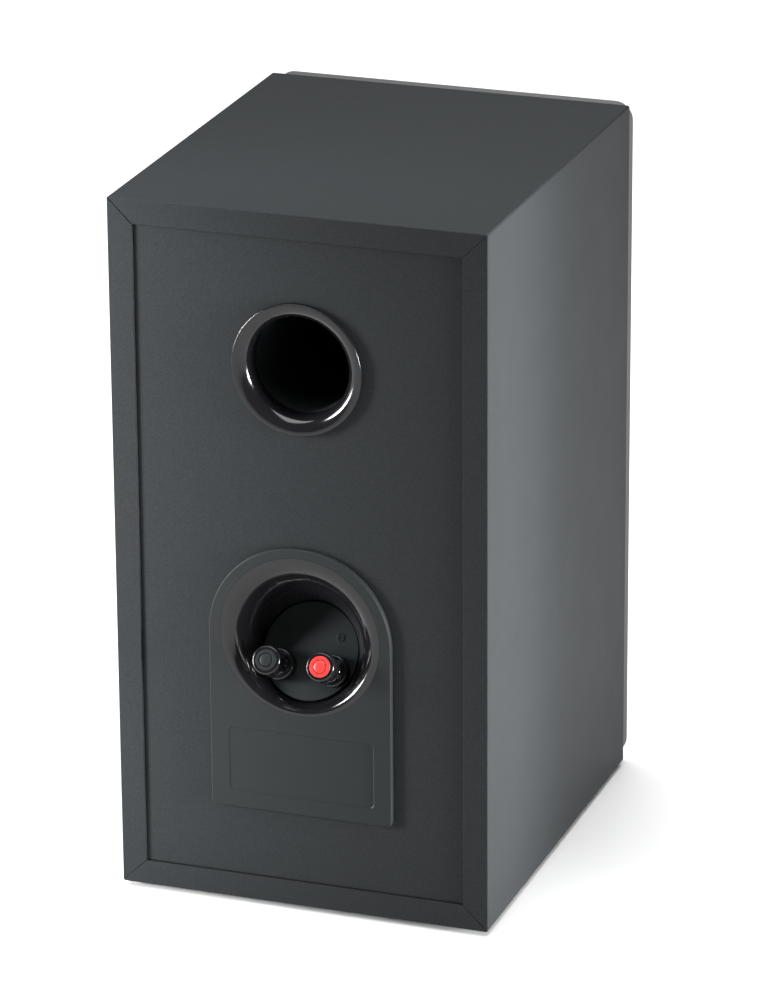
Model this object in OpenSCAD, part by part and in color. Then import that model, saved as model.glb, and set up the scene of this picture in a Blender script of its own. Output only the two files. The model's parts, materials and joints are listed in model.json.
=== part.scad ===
// Two-way bookshelf loudspeaker: a mitred cabinet with a rear port, a recessed
// terminal cup with two clamping posts, a woofer, a tweeter, a crossover and a
// push-on grille. The front faces -Y and the terminals face +Y.

/* [Cabinet] */
// Width of the cabinet
body_w = 212; // [210:1:230]
// Height of the cabinet without its feet
body_h = 395; // [392:1:420]
// Depth of the cabinet without the grille
body_d = 248; // [240:1:280]
// Thickness of the four mitred walls
wall_t = 14; // [12:1:14]
// Thickness of the front baffle
baffle_t = 22; // [20:1:24]
// Thickness of the rear panel
rear_t = 16; // [14:1:18]
// How far the rear panel lies inside the rear edge of the walls
rear_recess = 1.5; // [1:0.5:2]
// Gap between the rear panel and the walls
rear_gap = 0.4; // [0.2:0.1:0.8]
// Height of the foot pads
foot_h = 3; // [2:0.5:6]
// Diameter of the foot pads
foot_d = 18; // [12:1:24]

/* [Grille] */
// How far the grille is inset from each side of the cabinet
grille_inset = 1; // [0.5:0.5:2]
// Shadow gap between the grille frame and the cabinet
grille_gap = 1; // [0.8:0.1:1.5]
// Thickness of the grille with its cloth
grille_t = 8.5; // [8:0.5:10]
// Thickness of the grille cloth
cloth_t = 0.8; // [0.5:0.1:1]
// Width of the bars of the grille frame
grille_bar = 24; // [23:1:25]
// Diameter of the grille pegs
peg_d = 6; // [5:0.5:7]

/* [Port] */
// Height of the port's centre above the cabinet's underside
port_z = 310; // [300:1:320]
// Diameter of the port's flange
port_flange_d = 73; // [72:1:76]
// Inner diameter of the port
port_bore_d = 55; // [53:1:55]
// Radius of the port's outer flare
port_flare_r = 8; // [6:0.5:8]
// Length of the port behind the rear panel's face
port_length = 128; // [100:1:135]

/* [Terminals] */
// Half the width of the terminal plate and the radius of its arched top
plate_r = 52; // [51.5:0.5:54]
// Height of the centre of the plate's arch
plate_arch_z = 157; // [156:0.5:158]
// Height of the plate's lower edge
plate_bottom_z = 54.5; // [50:0.5:56]
// Height of the centre of the cup's rim
cup_z = 158.2; // [157.6:0.1:158.8]
// Radius at which the flare of the cup's rim starts
cup_r = 44; // [43:0.1:44.2]
// Tilt of the terminal disc, upward from facing straight back
disc_tilt = 27; // [24:0.5:28]
// Radius of the terminal disc
disc_r = 27; // [26.9:0.1:27.3]
// Distance between the two posts
post_pitch = 30.8; // [29:0.1:31]
// Diameter of the knobs
knob_d = 15.7; // [14.5:0.1:16]
// Gap that the clamped wire goes in, with the knob where it is stored
clamp_gap = 4.4; // [4.3:0.1:4.4]

/* [Drivers] */
// Height of the woofer's centre
woofer_z = 130; // [126:1:132]
// Radius of the woofer's frame
woofer_r = 82.5; // [82:0.5:83]
// Height of the tweeter's centre
tweeter_z = 300; // [296:1:304]
// Radius of the tweeter's faceplate
tweeter_r = 52; // [50:0.5:52]

/* [Hidden] */
$fn = 64;

// Colours
vinyl = [0.24, 0.26, 0.27];
satin_black = [0.16, 0.17, 0.18];
gloss_black = [0.05, 0.05, 0.06];
cloth_black = [0.07, 0.07, 0.08];
rubber_black = [0.1, 0.1, 0.1];
board_brown = [0.55, 0.43, 0.3];
foam_grey = [0.35, 0.35, 0.38];
steel = [0.72, 0.73, 0.75];
ferrite = [0.2, 0.2, 0.21];
cone_grey = [0.3, 0.31, 0.33];
signal_red = [0.88, 0.22, 0.2];
copper = [0.75, 0.42, 0.22];
board_green = [0.12, 0.36, 0.22];
film_yellow = [0.85, 0.7, 0.25];
ceramic_white = [0.85, 0.84, 0.8];
spider_yellow = [0.75, 0.65, 0.35];
nylon = [0.9, 0.89, 0.84];

// Clearances: eps lets a cut pass a face, and slip parts two fitted pieces
eps = 1;
slip = 0.05;
glue_gap = 0.3;

// Cabinet
inner_w = body_w - 2 * wall_t;
rear_inner_y = -rear_recess - rear_t;
baffle_inner_y = baffle_t - body_d;
cleat = 14;
drill_extra = 0.5;
brace_z = 222;
brace_t = 15;
brace_margin_x = 32;
brace_margin_front = 26;
brace_margin_rear = 28;
foot_inset = 22;
foot_edge = 0.8;
pad_t = 15;
pad_margin = 22;
pad_brace_gap = 11;
pad_corner_gap = 2;
pad_front_y = baffle_inner_y + pad_brace_gap;
pad_rear_y = rear_inner_y - cleat - 8.5;

// Grille
grille_w = body_w - 2 * grille_inset;
grille_h = body_h - 2 * grille_inset;
grille_x = grille_w / 2;
grille_z0 = grille_inset;
grille_z1 = grille_inset + grille_h;
grille_corner = 10;
window_corner = 6;
grille_back_y = -body_d - grille_gap;
frame_t = grille_t - cloth_t;
crossbar_z = 222;
crossbar_h = 14;
peg_length = 10.5;
peg_tip = 1.5;
peg_taper = 1;
socket_depth = 12;
socket_wall = 2;
socket_end = 1.5;
peg_x = inner_w / 2 - 7;
peg_z = 32;
peg_places = [for (x = [-peg_x, peg_x], z = [peg_z, body_h - peg_z]) [x, z]];

// Port, along its own axis from the rear panel's face
port_rim = 3;
port_edge = 0.5;
port_flare_x = port_bore_d / 2 + port_flare_r;
spigot_r = port_bore_d / 2 + 3.5;
spigot_length = 20;
tube_wall = 2;
tube_start = 10;
tube_flare = 7;

// Terminal plate, cup and disc
plate_t = 3;
plate_face_y = plate_t - rear_recess;
plate_corner = 3;
label_w = 84;
label_z = 64;
label_h = 38;
label_depth = 0.5;
label_corner = 3;
cup_rim = 1.4;
plate_hole_r = cup_r + cup_rim + 0.1;
panel_hole_r = cup_r + cup_rim + 2.1;
gasket_t = 1;
gasket_w = 2;
gasket_gap = 0.1;
frame_gap = 0.5;
plate_peg_r = 2.5;
plate_peg_length = 8;
plate_pegs = [for (x = [-45, 45], z = [62, 106]) [x, z]];
cup_wall = 2;
cup_sides = 60;
cup_rings = 8;
cup_flare = 0.28;
cup_throat = 0.25;
cup_seat = 1.2;
disc_y = -16.5;
disc_z = 144;
disc_t = 4;
mark_y = 9;
mark_r = 2.6;
mark_line = 0.7;
mark_bar = 3.2;
mark_h = 0.3;
mark_root = 0.1;

// Binding posts, along their own axis from the disc's face
post_x = post_pitch / 2;
post_y = -9.5;
post_r = 4;
post_top = 19.5;
post_edge = 0.5;
post_bottom = -14;
collar_r = 8.7;
collar_h = 7;
collar_edge = 1;
bush_r = 5.5;
cross_hole_r = 2;
cross_hole_w = collar_h + cross_hole_r + 0.2;
socket_r = 2;
socket_floor = 12;
tag_t = 0.8;
tag_r = 7.5;
tag_w = 5;
tag_reach = 14;
nut_r = 7.5;
nut_h = 5;
washer_t = 1.2;
washer_r = 6.8;
washer_w = collar_h + clamp_gap;
knob_w = washer_w + washer_t;
knob_face = 27;
knob_edge = 1;
knob_cap_h = 6;
cap_under = knob_face - knob_cap_h;
cap_edge = 0.4;
skirt_r = 6.9;
nub_r = 1.5;
nub_circle = skirt_r + 0.2;
nub_count = 6;
nub_first = 34;
nub_start = 0.8;
nub_end = cap_under + 1;
ring_in = 3.9;
ring_out = 5.75;
ring_depth = 0.6;
ring_proud = 0.2;
plug_r = 3.55;
plug_recess_r = 3.65;
plug_floor = 24.5;
plug_gap = 0.1;
plug_shoulder = 0.2;
plug_tip = 0.5;
plug_steps = 6;
plug_stem_r = 1.9;
plug_stem = 16.8;
bore_end = 24;
plug_dome = 0.7;

// Woofer, along its own axis from the baffle's face into the cabinet
flange_t = 4;
rebate = flange_t + gasket_t;
woofer_hole_r = woofer_r - 10;
ledge_r = woofer_r - 10.5;
ledge_z = 2.5;
screw_circle = woofer_r - 5.5;
screw_count = 6;
screw_first = 30;
screw_head_r = 4;
screw_head_h = 2.4;
screw_r = 2;
screw_length = 20;
screw_tip = 3;
screw_tip_r = 0.4;
slot_w = 0.9;
slot_reach = 2.2;
slot_depth = 1.2;
basket_knee_z = 46;
basket_plate_z = 47;
basket_end = 50;
basket_end_r = 52;
basket_well_r = 45;
basket_step_r = 49;
basket_windows = 6;
basket_window_r = 49.5;
basket_window_w = 30;
basket_window_z = [24, 39];
trim_in = 69.7;
cone_r = 58.5;
cone_edge_z = 2.8;
cone_neck_z = 28;
cone_t = 1.2;
former_in = 12.5;
former_out = 12.8;
former_top = 27;
former_end = 60;
coil_out = 13.6;
coil_start = 48;
coil_length = 11;
cap_r = 20;
cap_h = 7;
cap_t = 0.8;
roll_r = 5;
roll_x = 64;
roll_in = 55.5;
roll_out = 71.5;
skin_t = 0.8;
spider_z = 39.6;
spider_waves = 5;
spider_wave = 0.9;
spider_ledge = 41;
spider_r = 48.5;
spider_flat_r = 44;
pole_r = 12.2;
gap_r = 14.1;
top_plate_r = 45;
top_plate_t = 6;
magnet_r = 50;
magnet_in = 20;
magnet_t = 15;
yoke_t = 6;
vent_r = 4;
pole_rise = 1;
pole_root = 0.5;
strip_y = 52.2;
strip_w = 24;
strip_t = 2;
strip_z = [47, 61];
strip_mid = strip_y + strip_t / 2;
strip_tab_z = 55;

// Tweeter, along its own axis from the baffle's face into the cabinet
tweeter_hole_r = 38;
throat_r = 17;
throat_flare = 3;
throat_steps = 8;
mouth_r = 27;
boss_in = 19;
boss_out = 36;
dome_r = 12.9;
dome_base = 4.6;
dome_h = 4.2;
dome_t = 0.4;
t_former_in = 12.3;
t_former_out = 12.6;
t_former_end = 11.5;
t_coil_out = 13;
t_coil_start = 7;
t_coil_length = 3;
t_pole_r = 12;
t_gap_r = 13.4;
t_plate_r = 33;
t_plate_t = 4;
t_magnet_in = 18;
t_magnet_t = 10;
t_yoke_t = 4;
t_vent_r = 3;
t_roll_r = 1.4;
t_pole_drop = 0.4;
t_screw_circle = tweeter_r - 5.5;
t_screw_count = 4;
t_screw_first = 45;

// Crossover
board_x = 140;
board_y = 90;
board_t = 1.6;
board_front_y = -150;
board_z = wall_t + 8;
board_top = board_z + board_t;
standoff_r = 3.5;
standoff_pin = 1.5;
standoff_head = 2;
standoffs = [for (x = [-62, 62], y = [-142, -68]) [x, y]];
tab_w = 6;
tab_t = 0.8;
tab_h = 9;
tweeter_tab_w = 5;
board_tabs = [[-24, -146], [-12, -146], [0, -146], [12, -146], [-24, -63], [24, -63]];
woofer_tab_x = 6;
woofer_tab_end = 66;
tweeter_tab_x = 35.6;
tweeter_tab_end = 26;
bass_coil = [-38, -105];
bass_coil_r = 22;
bass_core_r = 10;
bass_coil_h = 24;
treble_coil = [31, -128];
treble_coil_r = 14;
treble_core_r = 6;
treble_coil_h = 18;
bobbin_t = 2;
coil_margin = 1.5;
capacitor_x = -8;
capacitor_ys = [-97, -76];
capacitor_rs = [9, 7];
capacitor_lengths = [38, 32];
resistor_xs = [40, 53];
resistor_y = -107;
resistor_size = 9;
resistor_lengths = [40, 32];

// Wires: each route starts on a tab of the board and ends on a terminal
wire_r = 1.2;
wire_sides = 8;
wire_steps = 4;
tab_top = board_top + tab_h;
woofer_tab_z = woofer_z - strip_mid;
positive_routes = [
    [[-24, -63, tab_top], [-24, -63, 42], [-24, -60, 55], [-20, -52, 85], [-17, -42, 118],
        terminal_end(1, 8), terminal_end(1, 0)],
    [[-12, -146, tab_top], [-12, -146, 42], [-10, -152, 58], [-7, -165, 72],
        [-woofer_tab_x, woofer_tab_end - body_d + 8, woofer_tab_z],
        [-woofer_tab_x, woofer_tab_end - body_d, woofer_tab_z]],
    [[-24, -146, tab_top], [-24, -146, 42], [-40, -140, 70], [-52, -135, 130],
        [-52, -140, 200], [-52, -150, 235], [-50, -175, 265], [-40, -200, 290],
        [-tweeter_tab_x, tweeter_tab_end - body_d + 10, tweeter_z],
        [-tweeter_tab_x, tweeter_tab_end - body_d, tweeter_z]]
];
negative_routes = [
    [[24, -63, tab_top], [24, -63, 42], [24, -60, 55], [20, -52, 85], [17, -42, 118],
        terminal_end(-1, 8), terminal_end(-1, 0)],
    [[0, -146, tab_top], [0, -146, 42], [2, -152, 58], [5, -165, 72],
        [woofer_tab_x, woofer_tab_end - body_d + 8, woofer_tab_z],
        [woofer_tab_x, woofer_tab_end - body_d, woofer_tab_z]],
    [[12, -146, tab_top], [12, -146, 42], [34, -140, 70], [52, -135, 130],
        [52, -140, 200], [52, -150, 235], [50, -175, 265], [40, -200, 290],
        [tweeter_tab_x, tweeter_tab_end - body_d + 10, tweeter_z],
        [tweeter_tab_x, tweeter_tab_end - body_d, tweeter_z]]
];

// The whole object's reach along Y, which centres the frame
rear_reach = disc_y - post_y * sin(disc_tilt) + (knob_face - knob_edge) * cos(disc_tilt)
    + (knob_d / 2 - knob_edge) * sin(disc_tilt) + knob_edge;
front_reach = grille_back_y - grille_t;
frame_y = -(rear_reach + front_reach) / 2;

// Points of an arc from one angle to another
function arc(x, y, r, from, to, n = 12) =
    [for (i = [0:n]) let (a = from + (to - from) * i / n) [x + r * cos(a), y + r * sin(a)]];

// Outline of a rectangle with round corners
function round_rect(x0, y0, x1, y1, r, n = 8) = concat(
    arc(x1 - r, y1 - r, r, 0, 90, n), arc(x0 + r, y1 - r, r, 90, 180, n),
    arc(x0 + r, y0 + r, r, 180, 270, n), arc(x1 - r, y0 + r, r, 270, 360, n));

// A point given in the terminal disc's own frame, in the cabinet's frame
function on_disc(x, y, w) = [-x, disc_y + w * cos(disc_tilt) - y * sin(disc_tilt),
    disc_z + w * sin(disc_tilt) + y * cos(disc_tilt)];

// Where a wire meets the solder tag of a post, or a distance straight in from it
function terminal_end(side, away) =
    on_disc(side * post_x, post_y + tag_reach - 3, -disc_t - tag_t - away);

// Front of the woofer's cone at a radius
function cone_z(r) = cone_edge_z + (cone_r - r) * (cone_neck_z - cone_edge_z) / (cone_r - former_out);

// Smooth curve through a route's points
function between(a, b, c, d, t) = 0.5 * (2 * b + (c - a) * t + (2 * a - 5 * b + 4 * c - d) * t * t
    + (3 * b - a - 3 * c + d) * t * t * t);
function smooth(p) = let (n = len(p)) concat(
    [for (i = [0:n - 2], s = [0:wire_steps - 1])
        between(p[max(i - 1, 0)], p[i], p[i + 1], p[min(i + 2, n - 1)], s / wire_steps)],
    [p[n - 1]]);
function unit(v) = v / norm(v);
function heading(route, curve, i) = let (n = len(curve) - 1, m = len(route) - 1)
    i == 0 ? unit(route[1] - route[0])
    : i == n ? unit(route[m] - route[m - 1])
    : unit(curve[i + 1] - curve[i - 1]);

// Frames that the modules below draw in
module at_cabinet() translate([0, frame_y, foot_h]) children();
module at_port() at_cabinet() translate([0, -rear_recess, port_z]) rotate([-90, 0, 0]) children();
module at_cup() at_cabinet() translate([0, 0, cup_z]) rotate([-90, 0, 0]) children();
module at_disc() at_cabinet() translate([0, disc_y, disc_z])
    rotate([disc_tilt - 90, 0, 0]) rotate([0, 0, 180]) children();
module at_post(side) at_disc() translate([side * post_x, post_y, 0]) children();
module at_posts() for (side = [-1, 1]) at_post(side) children();
module at_woofer() at_cabinet() translate([0, -body_d, woofer_z]) rotate([-90, 0, 0]) children();
module at_tweeter() at_cabinet() translate([0, -body_d, tweeter_z]) rotate([-90, 0, 0]) children();

// Shapes that repeat
module ring(r_in, r_out, h) difference() {
    cylinder(r = r_out, h = h);
    translate([0, 0, -eps]) cylinder(r = r_in, h = h + 2 * eps);
}
module hole(r, from, to) translate([0, 0, from]) cylinder(r = r, h = to - from);
module block(low, high) translate(low) cube(high - low);
module around(r, count, first = 0)
    for (i = [0:count - 1]) rotate([0, 0, first + 360 * i / count]) translate([r, 0, 0]) children();
module upright(outline, y, t) translate([0, y + t, 0]) rotate([90, 0, 0]) linear_extrude(t) polygon(outline);
module shell_cap(base_r, h, t, base_z) {
    r = (base_r * base_r + h * h) / (2 * h);
    intersection() {
        translate([0, 0, base_z - h + r]) difference() {
            sphere(r = r);
            sphere(r = r - t);
        }
        translate([0, 0, base_z - h - eps]) cylinder(r = base_r + eps, h = h + eps);
    }
}
module wire(route) {
    curve = smooth(route);
    n = len(curve);
    rings = [for (i = [0:n - 1]) let (
        t = heading(route, curve, i),
        u = unit(cross(t, [1, 0, 0])),
        v = cross(t, u))
        for (k = [0:wire_sides - 1]) let (a = 360 * k / wire_sides)
            curve[i] + wire_r * (cos(a) * u + sin(a) * v)];
    sides = [for (i = [0:n - 2], k = [0:wire_sides - 1]) let (
        a = i * wire_sides + k,
        b = i * wire_sides + (k + 1) % wire_sides)
        [a, b, b + wire_sides, a + wire_sides]];
    first = [for (k = [wire_sides - 1:-1:0]) k];
    last = [for (k = [0:wire_sides - 1]) (n - 1) * wire_sides + k];
    polyhedron(points = rings, faces = concat(sides, [first, last]), convexity = 4);
}

// Cabinet ------------------------------------------------------------

module wall_panel(length) rotate([90, 0, 0]) linear_extrude(body_d) polygon([
    [-length / 2, 0], [length / 2, 0], [length / 2 - wall_t, wall_t], [wall_t - length / 2, wall_t]]);

module top_panel() color(vinyl) at_cabinet()
    translate([0, 0, body_h]) rotate([0, 180, 0]) wall_panel(body_w);

module bottom_panel() color(vinyl) at_cabinet() difference() {
    wall_panel(body_w);
    for (p = standoffs) translate([p[0], p[1], 0])
        hole(standoff_pin + slip, wall_t - standoff_head, wall_t + eps);
}

module left_panel() color(vinyl) at_cabinet()
    translate([-body_w / 2, 0, body_h / 2]) rotate([0, 90, 0]) wall_panel(body_h);

module right_panel() color(vinyl) at_cabinet()
    translate([body_w / 2, 0, body_h / 2]) rotate([0, -90, 0]) wall_panel(body_h);

module rear_panel() color(vinyl) difference() {
    at_cabinet() block([rear_gap - inner_w / 2, rear_inner_y, wall_t + rear_gap],
        [inner_w / 2 - rear_gap, -rear_recess, body_h - wall_t - rear_gap]);
    at_port() hole(spigot_r + 2 * slip, -rear_t - eps, eps);
    at_cup() hole(panel_hole_r, rear_inner_y - eps, eps);
    at_cabinet() for (p = plate_pegs) translate([p[0], -rear_recess + eps, p[1]]) rotate([90, 0, 0])
        cylinder(r = plate_peg_r + slip, h = plate_peg_length + drill_extra + eps);
}

module front_baffle() color(vinyl) difference() {
    at_cabinet() block([-inner_w / 2, -body_d, wall_t], [inner_w / 2, baffle_inner_y, body_h - wall_t]);
    at_woofer() {
        hole(woofer_r + frame_gap, -eps, rebate);
        hole(woofer_hole_r, -eps, baffle_t + eps);
        around(screw_circle, screw_count, screw_first) hole(screw_r + slip, 0, screw_length + drill_extra);
    }
    at_tweeter() {
        hole(tweeter_r + frame_gap, -eps, rebate);
        hole(tweeter_hole_r, -eps, baffle_t + eps);
        around(t_screw_circle, t_screw_count, t_screw_first)
            hole(screw_r + slip, 0, screw_length + drill_extra);
    }
    at_cabinet() for (p = peg_places) translate([p[0], -body_d - eps, p[1]]) rotate([-90, 0, 0])
        cylinder(r = peg_d / 2 + socket_wall + slip, h = socket_depth + eps);
}

module window_brace() color(board_brown) at_cabinet() difference() {
    block([-inner_w / 2, baffle_inner_y, brace_z], [inner_w / 2, rear_inner_y, brace_z + brace_t]);
    block([brace_margin_x - inner_w / 2, baffle_inner_y + brace_margin_front, brace_z - eps],
        [inner_w / 2 - brace_margin_x, rear_inner_y - brace_margin_rear, brace_z + brace_t + eps]);
}

module rear_cleats() color(board_brown) at_cabinet() {
    top = body_h - wall_t;
    side = inner_w / 2;
    front = rear_inner_y - cleat;
    block([-side, front, wall_t], [side, rear_inner_y, wall_t + cleat]);
    block([-side, front, top - cleat], [side, rear_inner_y, top]);
    for (x = [-side, side - cleat]) {
        block([x, front, wall_t + cleat], [x + cleat, rear_inner_y, brace_z]);
        block([x, front, brace_z + brace_t], [x + cleat, rear_inner_y, top - cleat]);
    }
}

module damping_pads() color(foam_grey) at_cabinet() {
    side = inner_w / 2;
    top = body_h - wall_t;
    for (x = [-side, side - pad_t]) {
        block([x, pad_front_y, wall_t + pad_margin], [x + pad_t, pad_rear_y, brace_z - pad_brace_gap]);
        block([x, pad_front_y, brace_z + brace_t + pad_brace_gap], [x + pad_t, pad_rear_y, top - pad_margin]);
    }
    block([pad_t + pad_corner_gap - side, pad_front_y, top - pad_t],
        [side - pad_t - pad_corner_gap, pad_rear_y, top]);
}

module feet() color(rubber_black) at_cabinet()
    for (x = [foot_inset - body_w / 2, body_w / 2 - foot_inset], y = [foot_inset - body_d, -foot_inset])
        translate([x, y, -foot_h]) {
            cylinder(r1 = foot_d / 2 - foot_edge, r2 = foot_d / 2, h = foot_edge);
            hole(foot_d / 2, foot_edge, foot_h);
        }

// Grille -------------------------------------------------------------

module grille_window(z0, z1) upright(
    round_rect(grille_bar - grille_x, z0, grille_x - grille_bar, z1, window_corner),
    grille_back_y - frame_t - eps, frame_t + 2 * eps);

module grille_frame() color(satin_black) at_cabinet() difference() {
    upright(round_rect(-grille_x, grille_z0, grille_x, grille_z1, grille_corner),
        grille_back_y - frame_t, frame_t);
    grille_window(grille_z0 + grille_bar, crossbar_z);
    grille_window(crossbar_z + crossbar_h, grille_z1 - grille_bar);
}

module grille_cloth() color(cloth_black) at_cabinet()
    upright(round_rect(-grille_x, grille_z0, grille_x, grille_z1, grille_corner), front_reach, cloth_t);

module grille_pegs() color(satin_black) at_cabinet()
    for (p = peg_places) translate([p[0], grille_back_y, p[1]]) rotate([-90, 0, 0]) {
        cylinder(r = peg_d / 2, h = peg_length - peg_tip);
        translate([0, 0, peg_length - peg_tip])
            cylinder(r1 = peg_d / 2, r2 = peg_d / 2 - peg_taper, h = peg_tip);
    }

module grille_sockets() color(rubber_black) at_cabinet()
    for (p = peg_places) translate([p[0], -body_d, p[1]]) rotate([-90, 0, 0]) difference() {
        cylinder(r = peg_d / 2 + socket_wall, h = socket_depth);
        hole(peg_d / 2 + slip, -eps, socket_depth - socket_end);
    }

// Port ---------------------------------------------------------------

module port_flange() color(gloss_black) at_port() rotate_extrude() polygon(concat(
    [[spigot_r, 0], [port_flange_d / 2, 0], [port_flange_d / 2, port_rim - port_edge],
        [port_flange_d / 2 - port_edge, port_rim]],
    arc(port_flare_x, port_rim - port_flare_r, port_flare_r, 90, 180),
    [[port_bore_d / 2, -tube_start], [port_bore_d / 2 + tube_wall + slip, -tube_start],
        [port_bore_d / 2 + tube_wall + slip, -spigot_length], [spigot_r, -spigot_length]]));

module port_tube() color(satin_black) at_port() rotate_extrude() polygon(concat(
    [[port_bore_d / 2 + tube_wall, -tube_start], [port_bore_d / 2, -tube_start]],
    arc(port_bore_d / 2 + tube_flare, tube_flare - port_length, tube_flare, 180, 270),
    arc(port_bore_d / 2 + tube_flare, tube_flare - port_length, tube_flare - tube_wall, 270, 180)));

// Terminals ----------------------------------------------------------

module terminal_plate() color(satin_black) difference() {
    at_cabinet() {
        upright(concat(arc(0, plate_arch_z, plate_r, 0, 180, 48),
            arc(plate_corner - plate_r, plate_bottom_z + plate_corner, plate_corner, 180, 270, 6),
            arc(plate_r - plate_corner, plate_bottom_z + plate_corner, plate_corner, 270, 360, 6)),
            -rear_recess, plate_t);
        for (p = plate_pegs) translate([p[0], -rear_recess, p[1]]) rotate([90, 0, 0])
            cylinder(r = plate_peg_r, h = plate_peg_length);
    }
    at_cup() hole(plate_hole_r, -rear_recess - eps, plate_face_y + eps);
    at_cup() hole(panel_hole_r + gasket_w + gasket_gap, -rear_recess - eps, gasket_t - rear_recess);
    at_cabinet() upright(round_rect(-label_w / 2, label_z, label_w / 2, label_z + label_h, label_corner),
        plate_face_y - label_depth, label_depth + eps);
}

// A ring of the cup's skin, from its rim (t = 0) to the disc (t = 1): at each angle a
// curve leaves the rim along the plate and meets the disc square to its face
function cup_ring(rim_r, rim_y, foot_r, foot_w, t) = [for (i = [0:cup_sides - 1]) let (
    a = 360 * i / cup_sides,
    rim = [rim_r * cos(a), rim_y, cup_z + rim_r * sin(a)],
    foot = on_disc(-foot_r * cos(a), foot_r * sin(a), foot_w),
    reach = norm(rim - foot),
    lip = rim - cup_flare * reach * [cos(a), 0, sin(a)],
    heel = foot + cup_throat * reach * [0, cos(disc_tilt), sin(disc_tilt)])
    pow(1 - t, 3) * rim + 3 * t * pow(1 - t, 2) * lip + 3 * t * t * (1 - t) * heel + pow(t, 3) * foot];

module terminal_cup() color(gloss_black) at_cabinet() {
    seat_w = -disc_t;
    under_w = -disc_t - cup_wall;
    face_r = cup_r + cup_rim;
    back_y = plate_face_y - cup_wall;
    inner = [for (k = [0:cup_rings])
        each cup_ring(cup_r, plate_face_y, disc_r + glue_gap, seat_w, k / cup_rings)];
    outer = [for (k = [cup_rings:-1:0])
        each cup_ring(face_r, back_y, disc_r + glue_gap + cup_wall, under_w, k / cup_rings)];
    seat = cup_ring(cup_r, plate_face_y, disc_r - cup_seat, seat_w, 1);
    under = cup_ring(cup_r, plate_face_y, disc_r - cup_seat, under_w, 1);
    edge = cup_ring(face_r, plate_face_y, disc_r, 0, 0);
    points = concat(inner, seat, under, outer, edge);
    rings = len(points) / cup_sides;
    polyhedron(points = points, convexity = 6, faces = [for (k = [0:rings - 1], i = [0:cup_sides - 1]) let (
        j = (i + 1) % cup_sides,
        here = k * cup_sides,
        next = ((k + 1) % rings) * cup_sides)
        [here + i, here + j, next + j, next + i]]);
}

// A raised round mark with a bar cut into it, or a cross
module mark(bars) difference() {
    hole(mark_r, -mark_root, mark_h);
    for (a = bars) rotate([0, 0, a])
        block([-mark_bar / 2, -mark_line / 2, 0], [mark_bar / 2, mark_line / 2, mark_h + eps]);
}

module terminal_disc() color(satin_black) at_disc() {
    difference() {
        hole(disc_r, -disc_t, 0);
        for (x = [-post_x, post_x]) translate([x, post_y, 0]) hole(bush_r + slip, -disc_t - eps, eps);
    }
    translate([-post_x, mark_y, 0]) mark([0]);
    translate([post_x, mark_y, 0]) mark([0, 90]);
}

module foam_gaskets() color(rubber_black) {
    at_cup() translate([0, 0, -rear_recess])
        ring(panel_hole_r + gasket_gap, panel_hole_r + gasket_w, gasket_t);
    at_woofer() difference() {
        translate([0, 0, flange_t]) ring(woofer_hole_r + frame_gap, woofer_r - frame_gap, gasket_t);
        around(screw_circle, screw_count, screw_first) hole(screw_r + glue_gap, 0, rebate + eps);
    }
    at_tweeter() difference() {
        translate([0, 0, flange_t]) ring(tweeter_hole_r + frame_gap, tweeter_r - frame_gap, gasket_t);
        around(t_screw_circle, t_screw_count, t_screw_first) hole(screw_r + glue_gap, 0, rebate + eps);
    }
}

module binding_posts() color(steel) at_posts() difference() {
    union() {
        hole(post_r, post_bottom, post_top - post_edge);
        translate([0, 0, post_top - post_edge]) cylinder(r1 = post_r, r2 = post_r - post_edge, h = post_edge);
    }
    hole(socket_r, socket_floor, post_top + eps);
    translate([0, post_r + eps, cross_hole_w]) rotate([90, 0, 0])
        cylinder(r = cross_hole_r, h = 2 * (post_r + eps));
}

module post_collars() color(gloss_black) at_posts() rotate_extrude() polygon(concat(
    [[post_r + slip, -disc_t], [bush_r, -disc_t], [bush_r, 0], [collar_r, 0]],
    arc(collar_r - collar_edge, collar_h - collar_edge, collar_edge, 0, 90, 6),
    [[post_r + slip, collar_h]]));

module post_nuts() color(steel) at_posts() difference() {
    translate([0, 0, -disc_t - tag_t - nut_h]) cylinder(r = nut_r, h = nut_h, $fn = 6);
    hole(post_r + slip, post_bottom, 0);
}

module post_tags() color(steel) at_posts() difference() {
    union() {
        hole(tag_r, -disc_t - tag_t, -disc_t);
        block([-tag_w / 2, 0, -disc_t - tag_t], [tag_w / 2, tag_reach, -disc_t]);
    }
    hole(post_r + slip, -disc_t - tag_t - eps, 0);
}

module clamp_washer(side) at_post(side) translate([0, 0, washer_w])
    ring(post_r + 2 * slip, washer_r, washer_t);

module knob(side) at_post(side) difference() {
    union() {
        hole(skirt_r, knob_w, cap_under + cap_edge);
        around(nub_circle, nub_count, nub_first) hole(nub_r, knob_w + nub_start, nub_end);
        rotate_extrude() polygon(concat(
            [[0, cap_under], [knob_d / 2 - cap_edge, cap_under], [knob_d / 2, cap_under + cap_edge]],
            arc(knob_d / 2 - knob_edge, knob_face - knob_edge, knob_edge, 0, 90, 6),
            [[0, knob_face]]));
    }
    hole(post_r + slip, knob_w - eps, bore_end);
    hole(plug_stem_r + glue_gap, bore_end - eps, knob_face);
    hole(plug_recess_r, plug_floor, knob_face + eps);
    translate([0, 0, knob_face - ring_depth]) ring(ring_in - slip, ring_out + slip, ring_depth + eps);
}

module knob_ring(side) at_post(side) translate([0, 0, knob_face - ring_depth])
    ring(ring_in, ring_out, ring_depth + ring_proud);

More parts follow.
